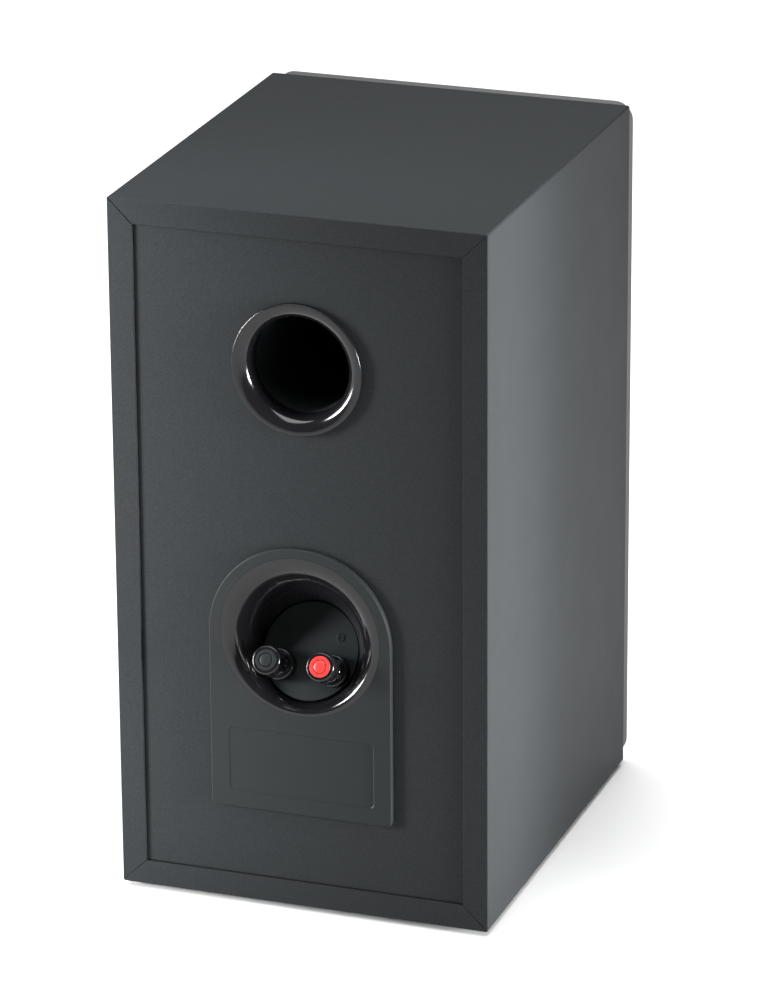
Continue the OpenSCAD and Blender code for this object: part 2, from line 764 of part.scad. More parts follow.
module plug(side) at_post(side) rotate_extrude() polygon(concat(
    [[0, plug_stem], [plug_stem_r - plug_tip, plug_stem], [plug_stem_r, plug_stem + plug_tip],
        [plug_stem_r, plug_floor + plug_gap], [plug_r, plug_floor + plug_gap],
        [plug_r, knob_face - plug_shoulder]],
    [for (i = [1:plug_steps]) let (a = 90 * i / plug_steps)
        [plug_r * cos(a), knob_face - plug_shoulder + plug_dome * sin(a)]]));

module negative_washer() color(steel) clamp_washer(-1);
module negative_knob() color(gloss_black) knob(-1);
module negative_ring() color(rubber_black) knob_ring(-1);
module negative_plug() color(rubber_black) plug(-1);
module positive_washer() color(steel) clamp_washer(1);
module positive_knob() color(gloss_black) knob(1);
module positive_ring() color(signal_red) knob_ring(1);
module positive_plug() color(signal_red) plug(1);

// Woofer -------------------------------------------------------------

module screw_seat(r, count, first) around(r, count, first) {
    translate([0, 0, -slip])
        cylinder(r1 = screw_head_r + 2 * slip, r2 = screw_r + 2 * slip, h = screw_head_h);
    hole(screw_r + 2 * slip, 0, flange_t + eps);
}

module woofer_basket() color(satin_black) at_woofer() difference() {
    rotate_extrude() polygon([
        [ledge_r, 0], [woofer_r, 0], [woofer_r, flange_t], [woofer_hole_r - 1, flange_t],
        [woofer_hole_r - 2.5, baffle_t], [basket_end_r, basket_knee_z], [basket_end_r, basket_end],
        [magnet_in, basket_end], [magnet_in, basket_plate_z], [basket_well_r, basket_plate_z],
        [basket_well_r, spider_ledge], [basket_step_r, spider_ledge],
        [woofer_hole_r - 5, baffle_t - 1], [woofer_hole_r - 4, ledge_z], [ledge_r, ledge_z]]);
    screw_seat(screw_circle, screw_count, screw_first);
    around(basket_window_r, basket_windows) block([0, -basket_window_w / 2, basket_window_z[0]],
        [woofer_r - basket_window_r, basket_window_w / 2, basket_window_z[1]]);
}

module woofer_trim_ring() color(rubber_black) at_woofer() ring(trim_in, ledge_r - slip, ledge_z - skin_t);

module woofer_surround() color(rubber_black) at_woofer() {
    mid = ledge_z - skin_t / 2;
    rotate_extrude() polygon(concat(
        [[roll_in, ledge_z], [roll_in, ledge_z - skin_t], [roll_x - roll_r - skin_t / 2, ledge_z - skin_t]],
        arc(roll_x, mid, roll_r + skin_t / 2, 180, 360, 16),
        [[roll_out, ledge_z - skin_t], [roll_out, ledge_z], [roll_x + roll_r - skin_t / 2, ledge_z]],
        arc(roll_x, mid, roll_r - skin_t / 2, 360, 180, 16),
        [[roll_x - roll_r + skin_t / 2, ledge_z]]));
}

module woofer_cone() color(cone_grey) at_woofer() rotate_extrude() polygon([
    [former_out, cone_neck_z], [cone_r, cone_edge_z], [cone_r, cone_edge_z + cone_t],
    [former_out, cone_neck_z + cone_t]]);

module woofer_dust_cap() color(cone_grey) at_woofer() shell_cap(cap_r, cap_h, cap_t, cone_z(cap_r) - slip);

module woofer_voice_coil() color(copper) at_woofer() {
    translate([0, 0, former_top]) ring(former_in, former_out, former_end - former_top);
    translate([0, 0, coil_start]) ring(former_out, coil_out, coil_length);
}

module woofer_spider() color(spider_yellow) at_woofer() {
    inner = former_out + glue_gap;
    wave_in = inner + 1;
    steps = 12 * spider_waves;
    wave = [for (i = [0:steps]) [wave_in + (spider_flat_r - wave_in) * i / steps,
        spider_z - spider_wave * sin(360 * spider_waves * i / steps)]];
    under = spider_z + skin_t;
    rotate_extrude() polygon(concat(
        [[inner, under], [inner, spider_z]], wave,
        [[spider_r, spider_z], [spider_r, spider_ledge], [basket_well_r + 0.2, spider_ledge],
            [basket_well_r - 0.4, under]],
        [for (i = [steps:-1:0]) wave[i] + [0, skin_t]]));
}

module woofer_top_plate() color(steel) at_woofer() translate([0, 0, basket_end])
    ring(gap_r, top_plate_r, top_plate_t);

module woofer_magnet() color(ferrite) at_woofer() translate([0, 0, basket_end + top_plate_t])
    ring(magnet_in, magnet_r, magnet_t);

module woofer_yoke() color(steel) at_woofer() {
    back = basket_end + top_plate_t + magnet_t;
    difference() {
        union() {
            hole(top_plate_r, back, back + yoke_t);
            hole(pole_r, basket_end - pole_rise, back + pole_root);
        }
        hole(vent_r, basket_end - pole_rise - eps, back + yoke_t + eps);
    }
}

module woofer_tag_strip() color(board_brown) at_woofer() difference() {
    block([-strip_w / 2, strip_y, strip_z[0]], [strip_w / 2, strip_y + strip_t, strip_z[1]]);
    for (x = [-woofer_tab_x, woofer_tab_x]) block([x - tab_w / 2, strip_mid - tab_t / 2, strip_tab_z],
        [x + tab_w / 2, strip_mid + tab_t / 2, strip_z[1] + eps]);
}

// Tweeter ------------------------------------------------------------

module tweeter_faceplate() color(satin_black) at_tweeter() difference() {
    rotate_extrude() polygon(concat(
        [[tweeter_r, 0], [tweeter_r, flange_t], [boss_out, flange_t], [boss_out, rebate],
            [boss_in, rebate], [boss_in, flange_t], [throat_r, flange_t]],
        [for (i = [0:throat_steps]) let (a = 90 * i / throat_steps)
            [mouth_r - (mouth_r - throat_r) * cos(a), throat_flare * (1 - sin(a))]]));
    screw_seat(t_screw_circle, t_screw_count, t_screw_first);
}

module tweeter_dome() color(cone_grey) at_tweeter() shell_cap(dome_r, dome_h, dome_t, dome_base);

module tweeter_surround() color(rubber_black) at_tweeter() {
    inner = dome_r + glue_gap;
    middle = inner + t_roll_r + dome_t;
    rotate_extrude() polygon(concat(
        [[inner, dome_base]],
        arc(middle, dome_base - dome_t / 2, t_roll_r + dome_t / 2, 180, 360, 10),
        [[boss_in - 0.1, dome_base - dome_t / 2], [boss_in - 0.1, dome_base + dome_t / 2],
            [middle + t_roll_r - dome_t / 2, dome_base + dome_t / 2]],
        arc(middle, dome_base - dome_t / 2, t_roll_r - dome_t / 2, 360, 180, 10),
        [[middle - t_roll_r + dome_t / 2, dome_base]]));
}

module tweeter_voice_coil() color(copper) at_tweeter() {
    translate([0, 0, dome_base]) ring(t_former_in, t_former_out, t_former_end - dome_base);
    translate([0, 0, t_coil_start]) ring(t_former_out, t_coil_out, t_coil_length);
}

module tweeter_top_plate() color(steel) at_tweeter() translate([0, 0, rebate])
    ring(t_gap_r, t_plate_r, t_plate_t);

module tweeter_magnet() color(ferrite) at_tweeter() translate([0, 0, rebate + t_plate_t])
    ring(t_magnet_in, t_plate_r, t_magnet_t);

module tweeter_yoke() color(steel) at_tweeter() {
    back = rebate + t_plate_t + t_magnet_t;
    difference() {
        union() {
            hole(t_plate_r - 2, back, back + t_yoke_t);
            hole(t_pole_r, rebate + t_pole_drop, back + pole_root);
        }
        hole(t_vent_r, rebate, back + t_yoke_t + eps);
    }
}

// Fasteners and electrical pieces --------------------------------------

module wood_screw() difference() {
    union() {
        cylinder(r1 = screw_head_r, r2 = screw_r, h = screw_head_h);
        cylinder(r = screw_r, h = screw_length - screw_tip);
        translate([0, 0, screw_length - screw_tip]) cylinder(r1 = screw_r, r2 = screw_tip_r, h = screw_tip);
    }
    for (a = [0, 90]) rotate([0, 0, a])
        block([-slot_reach, -slot_w / 2, -eps], [slot_reach, slot_w / 2, slot_depth]);
}

module driver_screws() color(steel) {
    at_woofer() around(screw_circle, screw_count, screw_first) wood_screw();
    at_tweeter() around(t_screw_circle, t_screw_count, t_screw_first) wood_screw();
}

module spade_tabs() color(steel) {
    at_cabinet() for (p = board_tabs)
        block([p[0] - tab_w / 2, p[1] - tab_t / 2, board_top], [p[0] + tab_w / 2, p[1] + tab_t / 2, tab_top]);
    at_woofer() for (x = [-woofer_tab_x, woofer_tab_x])
        block([x - tab_w / 2, strip_mid - tab_t / 2, strip_tab_z],
            [x + tab_w / 2, strip_mid + tab_t / 2, woofer_tab_end]);
    at_tweeter() for (x = [-tweeter_tab_x, tweeter_tab_x])
        block([x - tab_t / 2, -tweeter_tab_w / 2, rebate],
            [x + tab_t / 2, tweeter_tab_w / 2, tweeter_tab_end]);
}

module crossover_board() color(board_green) at_cabinet() difference() {
    block([-board_x / 2, board_front_y, board_z], [board_x / 2, board_front_y + board_y, board_top]);
    for (p = standoffs) translate([p[0], p[1], 0]) hole(standoff_pin + slip, board_z - eps, board_top + eps);
}

module board_standoffs() color(nylon) at_cabinet() for (p = standoffs) translate([p[0], p[1], 0]) {
    hole(standoff_pin, wall_t - standoff_head, board_top);
    hole(standoff_r, wall_t, board_z);
    hole(standoff_pin + 0.7, board_top, board_top + standoff_head);
}

module bobbin(r, core, h) {
    hole(core, 0, h);
    hole(r, 0, bobbin_t);
    hole(r, h - bobbin_t, h);
}

module coil(r, core, h) translate([0, 0, bobbin_t]) ring(core, r - coil_margin, h - 2 * bobbin_t);

module at_bass_coil() at_cabinet() translate([bass_coil[0], bass_coil[1], board_top]) children();
module at_treble_coil() at_cabinet()
    translate([treble_coil[0], treble_coil[1], board_top + treble_coil_r + glue_gap])
    rotate([0, 90, 0]) children();

module inductor_bobbins() color(nylon) {
    at_bass_coil() bobbin(bass_coil_r, bass_core_r, bass_coil_h);
    at_treble_coil() bobbin(treble_coil_r, treble_core_r, treble_coil_h);
}

module inductor_coils() color(copper) {
    at_bass_coil() coil(bass_coil_r, bass_core_r, bass_coil_h);
    at_treble_coil() coil(treble_coil_r, treble_core_r, treble_coil_h);
}

module capacitors() color(film_yellow) at_cabinet() for (i = [0, 1])
    translate([capacitor_x, capacitor_ys[i], board_top + capacitor_rs[i] + glue_gap])
    rotate([0, 90, 0]) cylinder(r = capacitor_rs[i], h = capacitor_lengths[i]);

module resistors() color(ceramic_white) at_cabinet() for (i = [0, 1])
    translate([resistor_xs[i], resistor_y, board_top])
    cube([resistor_size, resistor_lengths[i], resistor_size]);

module positive_wires() color(signal_red) at_cabinet() for (route = positive_routes) wire(route);
module negative_wires() color(rubber_black) at_cabinet() for (route = negative_routes) wire(route);

top_panel();
bottom_panel();
left_panel();
right_panel();
rear_panel();
front_baffle();
window_brace();
rear_cleats();
damping_pads();
feet();
grille_frame();
grille_cloth();
grille_pegs();
grille_sockets();
port_flange();
port_tube();
terminal_plate();
terminal_cup();
terminal_disc();
foam_gaskets();
binding_posts();
post_collars();
post_nuts();
post_tags();
negative_washer();
negative_knob();
negative_ring();
negative_plug();
positive_washer();
positive_knob();
positive_ring();
positive_plug();
woofer_basket();
woofer_trim_ring();
woofer_surround();
woofer_cone();
woofer_dust_cap();
woofer_voice_coil();
woofer_spider();
woofer_top_plate();
woofer_magnet();
woofer_yoke();
woofer_tag_strip();
tweeter_faceplate();
tweeter_dome();
tweeter_surround();
tweeter_voice_coil();
tweeter_top_plate();
tweeter_magnet();
tweeter_yoke();
driver_screws();
spade_tabs();
crossover_board();
board_standoffs();
inductor_bobbins();
inductor_coils();
capacitors();
resistors();
positive_wires();
negative_wires();
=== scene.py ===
"""Looks of a bookshelf loudspeaker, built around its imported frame. Places are in metres, in the
frame's own axes, and the shapes drawn below are in millimetres until their place is applied."""
import json
import math

import bmesh
import bpy
from mathutils import Matrix, Vector
from mathutils.geometry import tessellate_polygon


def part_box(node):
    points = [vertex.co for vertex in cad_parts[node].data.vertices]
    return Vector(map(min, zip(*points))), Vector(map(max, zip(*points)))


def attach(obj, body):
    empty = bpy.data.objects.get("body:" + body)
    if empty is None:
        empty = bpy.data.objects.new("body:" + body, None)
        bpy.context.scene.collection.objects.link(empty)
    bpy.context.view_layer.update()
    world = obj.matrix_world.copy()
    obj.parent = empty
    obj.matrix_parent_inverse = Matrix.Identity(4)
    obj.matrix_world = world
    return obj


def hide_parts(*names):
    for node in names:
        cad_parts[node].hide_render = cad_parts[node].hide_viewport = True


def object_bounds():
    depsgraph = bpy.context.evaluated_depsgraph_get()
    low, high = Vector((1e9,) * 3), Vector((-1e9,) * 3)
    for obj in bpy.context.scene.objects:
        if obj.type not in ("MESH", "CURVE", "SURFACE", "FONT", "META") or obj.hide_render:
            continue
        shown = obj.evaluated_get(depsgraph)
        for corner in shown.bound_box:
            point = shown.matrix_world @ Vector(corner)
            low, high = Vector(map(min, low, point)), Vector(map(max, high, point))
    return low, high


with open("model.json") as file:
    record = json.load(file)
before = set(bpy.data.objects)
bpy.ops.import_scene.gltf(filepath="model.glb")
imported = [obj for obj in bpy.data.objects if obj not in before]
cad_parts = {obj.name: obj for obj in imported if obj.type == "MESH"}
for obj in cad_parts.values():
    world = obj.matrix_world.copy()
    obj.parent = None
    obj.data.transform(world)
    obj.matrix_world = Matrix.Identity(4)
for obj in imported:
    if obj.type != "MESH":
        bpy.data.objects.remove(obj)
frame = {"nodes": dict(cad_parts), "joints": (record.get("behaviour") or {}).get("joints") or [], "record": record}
cad_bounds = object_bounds()

MM = 0.001
X = Vector((1, 0, 0))
Y = Vector((0, 1, 0))
Z = Vector((0, 0, 1))

# Cabinet
CORNER_R = 1.2
END_CHAMFER = 0.35

# Port, from its axis outward
BORE_R = 27.5
FLARE_R = 8
FLANGE_LIP = 0.5
SPIGOT_R = 31
SPIGOT_END = 20
TUBE_START = 10
TUBE_WALL = 2
TUBE_FLARE = 7

# Terminal plate and cup
PLATE_R = 52
PLATE_T = 3
PLATE_CORNER = 3
PLATE_EDGE = 0.6
LABEL_W = 84
LABEL_H = 38
LABEL_RISE = 9.5
LABEL_DEPTH = 0.5
LABEL_SLOPE = 0.7
CUP_R = 44
CUP_RIM = 1.4
CUP_WALL = 2
CUP_FLARE = 0.28
CUP_THROAT = 0.25
CUP_SEAT = 1.2

# Terminal disc and posts: heights are from the disc's face, along the posts
DISC_R = 27
DISC_T = 4
DISC_GAP = 0.3
POST_DROP = 9.5
MARK_RISE = 9
MARK_R = 2.6
MARK_H = 0.3
MARK_LINE = 0.7
MARK_BAR = 3.2
POST_R = 4
POST_LOW = -14
POST_HIGH = 19.5
SOCKET_R = 2
SOCKET_FLOOR = 12
THREAD_PITCH = 1.25
THREAD_DEPTH = 0.45
COLLAR_R = 8.7
COLLAR_H = 7
BUSH_R = 5.5
WASHER_R = 6.8
WASHER_T = 1.2
KNOB_LOW = 12.6
KNOB_CAP = 21
KNOB_FACE = 27
KNOB_R = 7.85
KNOB_EDGE = 1
SKIRT_R = 6.9
NUB_R = 1.5
NUB_CIRCLE = 7.1
NUBS = 6
NUB_FIRST = 34
RING_IN = 3.9
RING_OUT = 5.75
RING_DEPTH = 0.6
RING_PROUD = 0.2
PLUG_R = 3.55
PLUG_FLOOR = 24.5
PLUG_STEM_R = 1.9
PLUG_STEM = 16.8
PLUG_DOME = 0.7

# Grille cloth and foam pads
GRILLE_CORNER = 10
FRAME_EDGE = 0.4
CLOTH_T = 0.45
CLOTH_TURN = 12
FOAM_STEP = 3
FOAM_ROUND = 5
FOAM_PITCH = 24
FOAM_MIDDLE = 9.5
FOAM_WAVE = 5
PAD_BRACE_GAP = 11
PAD_TOP_GAP = 22
PAD_CORNER = 17


# Frame -----------------------------------------------------------------------


def middle(node):
    low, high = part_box(node)
    return (low + high) / 2


def joint(name):
    return next(one for one in frame["joints"] if one["name"] == name)


def placed(origin, x, z):
    """A frame in millimetres at origin, with its x and z axes along x and z."""
    axes = Matrix((x, z.cross(x), z)).transposed().to_4x4()
    return Matrix.Translation(origin) @ axes @ Matrix.Scale(MM, 4)


def post_place(side):
    """The frame of a binding post, from the disc's face outward."""
    turn = joint(side + "_knob_turn")
    axis = Vector(turn["axis"]).normalized()
    return placed(Vector(turn["pos_m"]) - axis * KNOB_LOW * MM, -X, axis)


def disc_place():
    """The frame of the terminal disc: between the posts, and above them."""
    posts = [post_place(side) for side in ("negative", "positive")]
    origin = (posts[0].translation + posts[1].translation) / 2
    up = posts[0].to_3x3().normalized() @ Y
    return placed(origin + up * POST_DROP * MM, -X, posts[0].to_3x3().normalized() @ Z)


# Solids ----------------------------------------------------------------------


class Solid:
    """Points and faces, built from rings of points and the walls between them."""

    def __init__(self):
        self.points = []
        self.faces = []

    def ring(self, points):
        start = len(self.points)
        self.points += [Vector(point) for point in points]
        return list(range(start, len(self.points)))

    def wall(self, low, high):
        count = max(len(low), len(high))
        for i in range(count):
            j = (i + 1) % count
            corners = [low[i % len(low)], low[j % len(low)], high[j % len(high)], high[i % len(high)]]
            self.faces.append(tuple(dict.fromkeys(corners)))

    def cap(self, *rings):
        flat = [index for ring in rings for index in ring]
        loops = [[self.points[index] for index in ring] for ring in rings]
        for triangle in tessellate_polygon(loops):
            self.faces.append(tuple(flat[index] for index in triangle))

    def tube(self, rings, closed=False):
        made = [self.ring(ring) for ring in rings]
        for low, high in zip(made, made[1:] + made[:1] if closed else made[1:]):
            self.wall(low, high)
        return made

    def add(self, other, place=Matrix()):
        """A copy of another solid, moved to a place."""
        shift = len(self.points)
        self.points += [place @ point for point in other.points]
        self.faces += [tuple(index + shift for index in face) for face in other.faces]


def piece(name, solid, material, place=Matrix(), sharp=32):
    """An object from a solid, smooth but for the edges sharper than the given angle."""
    mesh = bpy.data.meshes.new(name)
    mesh.from_pydata([place @ point for point in solid.points], [], solid.faces)
    work = bmesh.new()
    work.from_mesh(mesh)
    bmesh.ops.remove_doubles(work, verts=work.verts, dist=1e-7)
    bmesh.ops.recalc_face_normals(work, faces=work.faces)
    work.to_mesh(mesh)
    work.free()
    mesh.shade_smooth()
    mesh.set_sharp_from_angle(angle=math.radians(sharp))
    mesh.materials.append(material)
    thing = bpy.data.objects.new(name, mesh)
    bpy.context.scene.collection.objects.link(thing)
    keep_flats(thing)
    return thing


def keep_flats(thing):
    """Wide faces stay flat next to their rounded edges."""
    flats = thing.modifiers.new("flats", "WEIGHTED_NORMAL")
    flats.keep_sharp = True


def stand_for(thing, body, slot, *nodes):
    """The piece rides on a body and hides its CAD nodes; its slot is not used."""
    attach(thing, body)
    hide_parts(*nodes)


# Outlines --------------------------------------------------------------------


def arc(x, y, r, start, end, steps):
    """Points of an arc about (x, y), from one angle to another in degrees."""
    turns = [math.radians(start + (end - start) * i / steps) for i in range(steps + 1)]
    return [(x + r * math.cos(a), y + r * math.sin(a)) for a in turns]


def circle(r, steps=96, x=0, y=0):
    return arc(x, y, r, 0, 360, steps)[:-1]


def round_rect(width, height, r, x=0, y=0, steps=8):
    """A rectangle with round corners, about (x, y)."""
    right, top = width / 2 - r, height / 2 - r
    return (arc(x + right, y + top, r, 0, 90, steps) + arc(x - right, y + top, r, 90, 180, steps)
            + arc(x - right, y - top, r, 180, 270, steps) + arc(x + right, y - top, r, 270, 360, steps))


def rounded(corners, steps=5):
    """A closed outline of corners (x, y) or (x, y, r), where r rounds the corner."""
    outline = []
    for index, corner in enumerate(corners):
        point = Vector(corner[:2])
        if len(corner) < 3:
            outline.append(tuple(point))
            continue
        before = (Vector(corners[index - 1][:2]) - point).normalized()
        after = (Vector(corners[(index + 1) % len(corners)][:2]) - point).normalized()
        half = before.angle(after) / 2
        centre = point + (before + after).normalized() * corner[2] / math.sin(half)
        ends = [point + way * corner[2] / math.tan(half) - centre for way in (before, after)]
        start, end = [math.degrees(math.atan2(spoke.y, spoke.x)) for spoke in ends]
        sweep = (end - start + 180) % 360 - 180
        outline += arc(centre.x, centre.y, corner[2], start, start + sweep, steps)
    return outline


def inset(outline, distance):
    """The outline moved to its left by a distance, which is inward if it runs anticlockwise."""
    moved = []
    for index, point in enumerate(outline):
        here = Vector(point)
        before = (here - Vector(outline[index - 1])).normalized()
        after = (Vector(outline[(index + 1) % len(outline)]) - here).normalized()
        side = Vector((-before.y - after.y, before.x + after.x)).normalized()
        spread = max(side.dot(Vector((-after.y, after.x))), 0.3)
        moved.append(tuple(here + side * distance / spread))
    return moved


def at_height(outline, height):
    return [(x, y, height) for x, y in outline]


# Shapes ----------------------------------------------------------------------


def turned(profile, segments=96, solid=None):
    """A closed profile of (radius, height), turned about the z axis."""
    solid = solid or Solid()
    turns = [2 * math.pi * i / segments for i in range(segments)]
    rings = [[(r * math.cos(a), r * math.sin(a), h) for a in turns] if r > 0 else [(0, 0, h)]
             for r, h in profile]
    pole_to_pole = len(rings[0]) == 1 and len(rings[-1]) == 1
    solid.tube(rings, closed=not pole_to_pole)
    return solid


def edge_steps(edge, steps):
    """How far an edge has gone in and down at each step of its rounding; one step is a chamfer."""
    turns = [math.pi / 2 * i / steps for i in range(steps + 1)]
    return [(edge * (1 - math.cos(a)), edge * (1 - math.sin(a))) for a in turns]


def plate(outline, thickness, holes=(), edge=0.5, steps=1, recesses=(), low=0, solid=None):
    """A plate from height low, with its outer upper edge rounded, plain holes, and recesses
    (outline, depth, slope), whose walls lean in by the slope."""
    solid = solid or Solid()
    top = low + thickness
    rims = []
    floors = []
    for loop, into_edge in [(outline, edge)] + [(hole, 0) for hole in holes]:
        rings = [at_height(loop, low)]
        if into_edge:
            rings += [at_height(inset(loop, into), top - down) for into, down in edge_steps(into_edge, steps)]
        else:
            rings.append(at_height(loop, top))
        made = solid.tube(rings)
        floors.append(made[0])
        rims.append(made[-1])
    for loop, depth, slope in recesses:
        floor, rim = solid.tube([at_height(inset(loop, slope), top - depth), at_height(loop, top)])
        solid.cap(floor)
        rims.append(rim)
    solid.cap(*rims)
    solid.cap(*floors)
    return solid


# Materials ---------------------------------------------------------------------


class Look:
    """A principled material whose textures lie in the piece's own space."""

    def __init__(self, name, color, roughness, **sockets):
        self.material = bpy.data.materials.new(name)
        self.material.use_nodes = True
        self.nodes = self.material.node_tree.nodes
        self.links = self.material.node_tree.links
        self.shader = self.nodes["Principled BSDF"]
        self.shader.inputs["Base Color"].default_value = (*color, 1)
        self.shader.inputs["Roughness"].default_value = roughness
        for socket, value in sockets.items():
            self.shader.inputs[socket.replace("_", " ")].default_value = value
        self.place = self.nodes.new("ShaderNodeTexCoord").outputs["Object"]

    def noise(self, size, detail=2, place=None):
        """Noise whose lumps are about size millimetres across."""
        node = self.nodes.new("ShaderNodeTexNoise")
        node.inputs["Scale"].default_value = 1 / (size * MM)
        node.inputs["Detail"].default_value = detail
        self.links.new(place or self.place, node.inputs["Vector"])
        return node.outputs["Fac"]

    def cells(self, size, place=None):
        """Pebbles about size millimetres across."""
        node = self.nodes.new("ShaderNodeTexVoronoi")
        node.inputs["Scale"].default_value = 1 / (size * MM)
        self.links.new(place or self.place, node.inputs["Vector"])
        return node.outputs["Distance"]

    def waves(self, size, axis, distortion=0.0):
        """Lines across an axis, size millimetres apart."""
        node = self.nodes.new("ShaderNodeTexWave")
        node.bands_direction = axis
        node.inputs["Scale"].default_value = 1 / (size * MM) * math.pi / 10
        node.inputs["Distortion"].default_value = distortion
        self.links.new(self.place, node.inputs["Vector"])
        return node.outputs["Fac"]

    def combined(self, operation, first, second):
        node = self.nodes.new("ShaderNodeMath")
        node.operation = operation
        self.links.new(first, node.inputs[0])
        self.links.new(second, node.inputs[1])
        return node.outputs[0]

    def tint(self, value, low, high, start=0.35, end=0.65):
        """The base colour runs from low to high with a value."""
        ramp = self.nodes.new("ShaderNodeValToRGB")
        ramp.color_ramp.elements[0].position = start
        ramp.color_ramp.elements[0].color = (*low, 1)
        ramp.color_ramp.elements[1].position = end
        ramp.color_ramp.elements[1].color = (*high, 1)
        self.links.new(value, ramp.inputs["Fac"])
        self.links.new(ramp.outputs["Color"], self.shader.inputs["Base Color"])
        return self

    def polish(self, value, low, high):
        """The roughness runs from low to high with a value."""
        span = self.nodes.new("ShaderNodeMapRange")
        span.inputs["From Min"].default_value = 0.3
        span.inputs["From Max"].default_value = 0.7
        span.inputs["To Min"].default_value = low
        span.inputs["To Max"].default_value = high
        self.links.new(value, span.inputs["Value"])
        self.links.new(span.outputs["Result"], self.shader.inputs["Roughness"])
        return self

    def bump(self, value, depth, strength=1.0):
        """The surface rises and falls by about depth millimetres with a value."""
        node = self.nodes.new("ShaderNodeBump")
        node.inputs["Distance"].default_value = depth * MM
        node.inputs["Strength"].default_value = strength
        self.links.new(value, node.inputs["Height"])
        self.links.new(node.outputs["Normal"], self.shader.inputs["Normal"])
        return self


def shade(color, factor):
    return tuple(channel * factor for channel in color)


def speckled(name, color, roughness, grain, spread=0.25, depth=0.02, **sockets):
    """A grained surface: its colour, its polish and its relief vary with the grain."""
    look = Look(name, color, roughness, **sockets)
    fine = look.noise(grain)
    broad = look.noise(grain * 40, 3)
    look.tint(fine, shade(color, 1 - spread), shade(color, 1 + spread))
    look.polish(broad, roughness - 0.05, roughness + 0.05)
    look.bump(fine, depth)
    return look.material


def vinyl():
    color = (0.019, 0.0212, 0.0226)
    look = Look("vinyl", color, 0.5, Specular_IOR_Level=0.06)
    grain = look.noise(0.55, 3)
    pits = look.cells(0.9)
    relief = look.combined("ADD", grain, pits)
    look.tint(grain, shade(color, 0.85), shade(color, 1.2), 0.38, 0.64)
    look.polish(look.noise(30, 3), 0.485, 0.515)
    look.bump(relief, 0.03, 0.4)
    return look.material


def metal(name, color, roughness, grain):
    look = Look(name, color, roughness, Metallic=1.0)
    streaks = look.noise(grain, 3)
    look.tint(look.noise(grain * 12, 2), shade(color, 0.88), color)
    look.polish(streaks, roughness * 0.75, roughness * 1.3)
    look.bump(streaks, 0.004)
    return look.material


def knit():
    """Acoustic cloth: rows and columns of fine loops, with dark holes between them."""
    look = Look("cloth", (0.012, 0.012, 0.013), 0.85, Sheen_Weight=0.35, Sheen_Roughness=0.5)
    rows = look.waves(0.9, "Z")
    columns = look.waves(0.9, "X")
    loops = look.combined("MULTIPLY", rows, columns)
    look.tint(loops, (0.003, 0.003, 0.003), (0.02, 0.02, 0.021), 0.1, 0.7)
    look.bump(loops, 0.25)
    return look.material


def wound(name, color, roughness, size):
    look = Look(name, color, roughness, Metallic=1.0)
    look.tint(look.noise(size * 6), shade(color, 0.8), color)
    look.polish(look.noise(size * 3), roughness * 0.8, roughness * 1.4)
    return look.material


def materials():
    red = (0.78, 0.035, 0.03)
    return {
        "vinyl": vinyl(),
        "board": speckled("board", (0.40, 0.29, 0.18), 0.8, 0.8, 0.2, 0.08),
        "satin_plastic": speckled("satin_plastic", (0.0178, 0.0206, 0.0214), 0.4, 0.35, 0.06, 0.005,
                                  Specular_IOR_Level=0.1),
        "gloss_plastic": speckled("gloss_plastic", (0.006, 0.006, 0.007), 0.12, 0.5, 0.1, 0.0005),
        "cloth": knit(),
        "rubber": speckled("rubber", (0.014, 0.014, 0.015), 0.62, 0.4, 0.2, 0.02),
        "red_plastic": speckled("red_plastic", red, 0.34, 0.6, 0.06, 0.004),
        "foam": speckled("foam", (0.06, 0.06, 0.065), 0.95, 1.4, 0.5, 0.5),
        "plated_metal": metal("plated_metal", (0.66, 0.63, 0.58), 0.2, 0.4),
        "steel": metal("steel", (0.5, 0.49, 0.46), 0.32, 0.5),
        "screw_black": metal("screw_black", (0.06, 0.06, 0.06), 0.4, 0.3),
        "cast_frame": speckled("cast_frame", (0.016, 0.016, 0.017), 0.45, 0.5, 0.15, 0.02),
        "ferrite": speckled("ferrite", (0.04, 0.04, 0.043), 0.6, 0.7, 0.3, 0.05),
        "cone": speckled("cone", (0.03, 0.031, 0.034), 0.55, 1.1, 0.3, 0.06),
        "copper": wound("copper", (0.7, 0.3, 0.12), 0.3, 0.7),
        "spider_cloth": speckled("spider_cloth", (0.45, 0.31, 0.1), 0.85, 0.5, 0.3, 0.1),
        "board_green": speckled("board_green", (0.015, 0.11, 0.045), 0.35, 1.2, 0.12, 0.01),
        "film_yellow": speckled("film_yellow", (0.75, 0.48, 0.06), 0.3, 2.5, 0.08, 0.02),
        "ceramic": speckled("ceramic", (0.68, 0.66, 0.6), 0.8, 0.5, 0.08, 0.04),
        "nylon": speckled("nylon", (0.74, 0.72, 0.64), 0.45, 0.8, 0.05, 0.01),
        "red_wire": speckled("red_wire", (0.6, 0.02, 0.02), 0.4, 0.8, 0.1, 0.01),
        "black_wire": speckled("black_wire", (0.012, 0.012, 0.012), 0.4, 0.8, 0.1, 0.01),
    }


def finish_frame(looks):
    """Every CAD node gets the material of its slot."""
    for part in frame["record"]["subparts"]:
        node = frame["nodes"][part["node"]]
        node.data.materials.clear()
        node.data.materials.append(looks[part["material_slot"]])


# Camera and light ----------------------------------------------------------------


